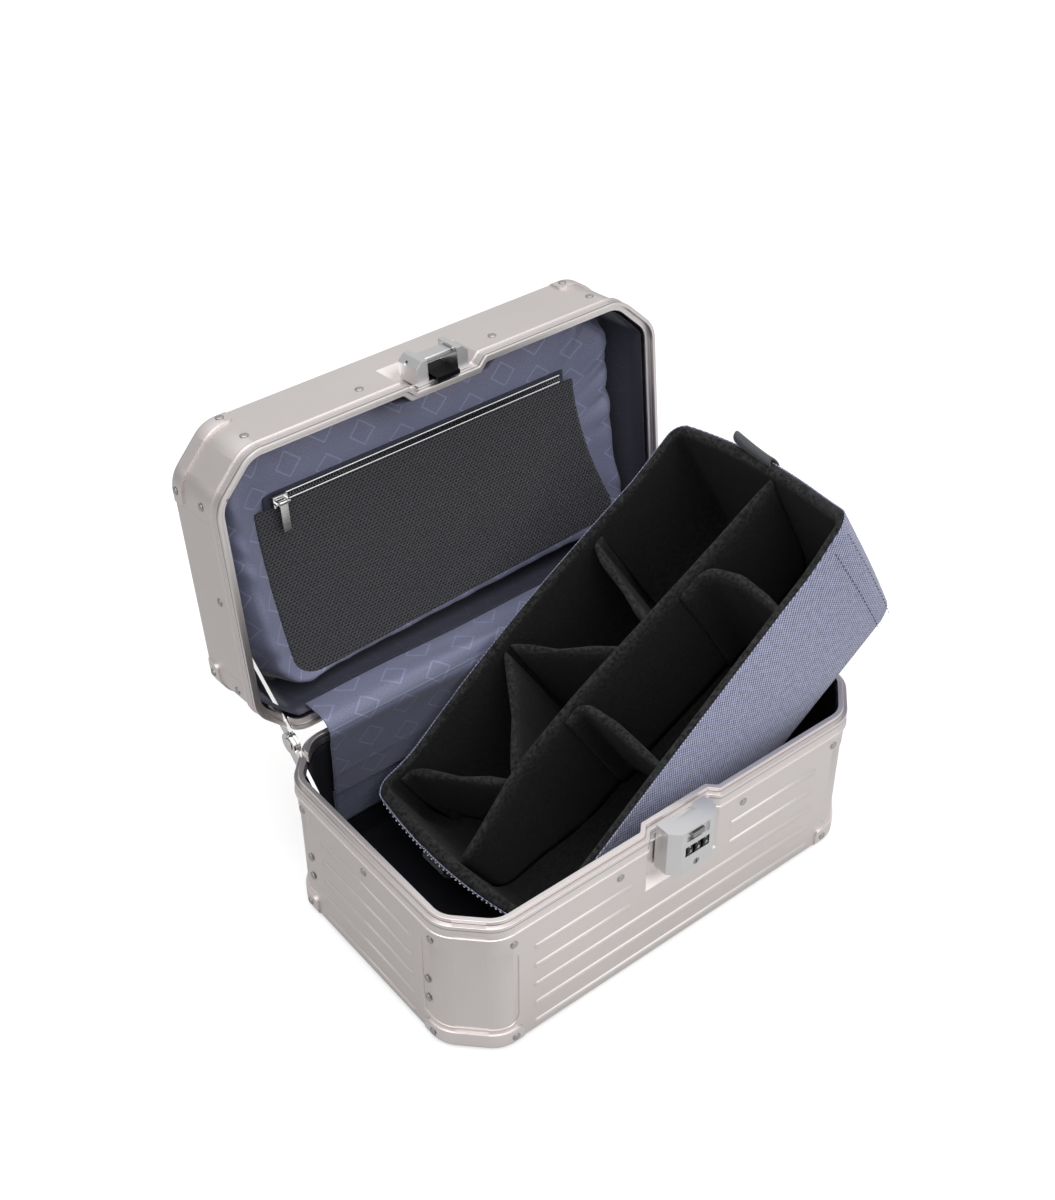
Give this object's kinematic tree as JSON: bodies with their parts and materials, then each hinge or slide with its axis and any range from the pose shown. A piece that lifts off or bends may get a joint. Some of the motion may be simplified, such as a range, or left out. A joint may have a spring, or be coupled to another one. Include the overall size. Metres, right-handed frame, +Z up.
{
  "type": "vanity case with divider insert",
  "caption": "Aluminium hinged vanity case standing open, with a combination latch, a lined lid with a zipped mesh pocket, and a padded divider insert leaning out over one end.",
  "frame": {"origin": "middle of the pressed underside of the base, on the surface it stands on", "axes": "+X along the long front towards the end where the insert leans out, -Y to the front with the lock, +Z up"},
  "size_m": [0.3891, 0.3255, 0.3471],
  "materials": {
    "sheet": "satin, beaded sheet",
    "frame": "satin drawn section",
    "rivet": "bright domed heads",
    "lining": "satin woven lining with a faint geometric figure",
    "band": "heavy twill",
    "mesh": "knitted net",
    "zip_tape": "woven tape with moulded teeth",
    "chromed_steel": "polished",
    "lock_metal": "satin plated casting",
    "plain_steel": "plain",
    "dial": "engraved number wheel",
    "handle": "grained grip",
    "insert_cloth": "coarse coated weave over foam",
    "divider_felt": "brushed felt over foam",
    "webbing": "woven webbing"
  },
  "bodies": {
    "base": {"base_front_panel": "sheet", "base_rear_panel": "sheet", "base_left_panel": "sheet", "base_right_panel": "sheet", "base_bottom": "sheet", "base_corner_caps": "frame", "base_rim": "frame", "base_rivets": "rivet", "base_lining": "lining", "lock_body": "lock_metal", "dial_axle": "plain_steel", "hinge_arm_base_left": "chromed_steel", "hinge_arm_base_right": "chromed_steel", "hinge_pin_left": "chromed_steel", "hinge_pin_right": "chromed_steel", "rear_band": "band", "hinge_flap": "lining", "insert_tray": "insert_cloth", "insert_long_divider": "divider_felt", "insert_cross_divider_1": "divider_felt", "insert_cross_divider_2": "divider_felt", "insert_cross_divider_3": "divider_felt", "insert_cross_divider_4": "divider_felt", "insert_cross_divider_5": "divider_felt", "insert_cross_divider_6": "divider_felt", "insert_loop_left": "webbing", "insert_loop_right": "webbing"},
    "lid": {"lid_corner_caps": "frame", "lid_rim": "frame", "lid_front_panel": "sheet", "lid_rear_panel": "sheet", "lid_left_panel": "sheet", "lid_right_panel": "sheet", "lid_top": "sheet", "lid_rivets": "rivet", "lid_lining": "lining", "lid_lining_panel": "lining", "mesh_pocket": "mesh", "zip_tape": "zip_tape", "handle_bracket_left": "chromed_steel", "handle_bracket_right": "chromed_steel", "latch_housing": "lock_metal", "latch_pin": "plain_steel", "latch_tongue": "plain_steel", "hinge_arm_lid_left": "chromed_steel", "hinge_arm_lid_right": "chromed_steel"},
    "latch_lever": {"latch_lever": "lock_metal"},
    "zip_slider": {"zip_slider": "chromed_steel"},
    "zip_pull": {"zip_pull": "chromed_steel"},
    "carry_handle": {"carry_handle": "handle"},
    "lock_dial_1": {"lock_dial_1": "dial"},
    "lock_dial_2": {"lock_dial_2": "dial"},
    "lock_dial_3": {"lock_dial_3": "dial"},
    "lock_release": {"lock_release": "plain_steel"},
    "key_barrel": {"key_barrel": "chromed_steel"}
  },
  "joints": [
    {"name": "lid_hinge", "type": "hinge", "parent": "base", "child": "lid", "pos_m": [0, 0.1126, 0.1165], "axis": [1, 0, 0], "range_deg": [0, 96], "deforming": ["insert_tray", "insert_long_divider", "insert_cross_divider_1", "insert_cross_divider_2", "insert_cross_divider_3", "insert_cross_divider_4", "insert_cross_divider_5", "insert_cross_divider_6", "insert_loop_left", "insert_loop_right", "hinge_flap"]},
    {"name": "latch_lever_hinge", "type": "hinge", "parent": "lid", "child": "latch_lever", "pos_m": [0, 0.15609, 0.34179], "axis": [1, 0, 0], "range_deg": [-70, 0], "stiffness_Nm_per_rad": 0.02},
    {"name": "zip_slide", "type": "slide", "parent": "lid", "child": "zip_slider", "axis": [1, 0, 0], "range_m": [0, 0.233]},
    {"name": "zip_pull_hinge", "type": "hinge", "parent": "zip_slider", "child": "zip_pull", "pos_m": [0, 0.16615, 0.26783], "axis": [1, 0, 0], "range_deg": [-120, 0]},
    {"name": "handle_hinge", "type": "hinge", "parent": "lid", "child": "carry_handle", "pos_m": [0, 0.19647, 0.24001], "axis": [1, 0, 0], "range_deg": [-6, 94]},
    {"name": "lock_dial_1_spin", "type": "hinge", "parent": "base", "child": "lock_dial_1", "pos_m": [-0.007, -0.115, 0.101], "axis": [1, 0, 0], "continuous": true},
    {"name": "lock_dial_2_spin", "type": "hinge", "parent": "base", "child": "lock_dial_2", "pos_m": [0, -0.115, 0.101], "axis": [1, 0, 0], "continuous": true},
    {"name": "lock_dial_3_spin", "type": "hinge", "parent": "base", "child": "lock_dial_3", "pos_m": [0.007, -0.115, 0.101], "axis": [1, 0, 0], "continuous": true},
    {"name": "lock_release_slide", "type": "slide", "parent": "base", "child": "lock_release", "axis": [1, 0, 0], "range_m": [0, 0.004], "stiffness_N_per_m": 100},
    {"name": "key_barrel_turn", "type": "hinge", "parent": "base", "child": "key_barrel", "pos_m": [0, -0.121, 0.087], "axis": [0, 1, 0], "range_deg": [0, 90]}
  ]
}
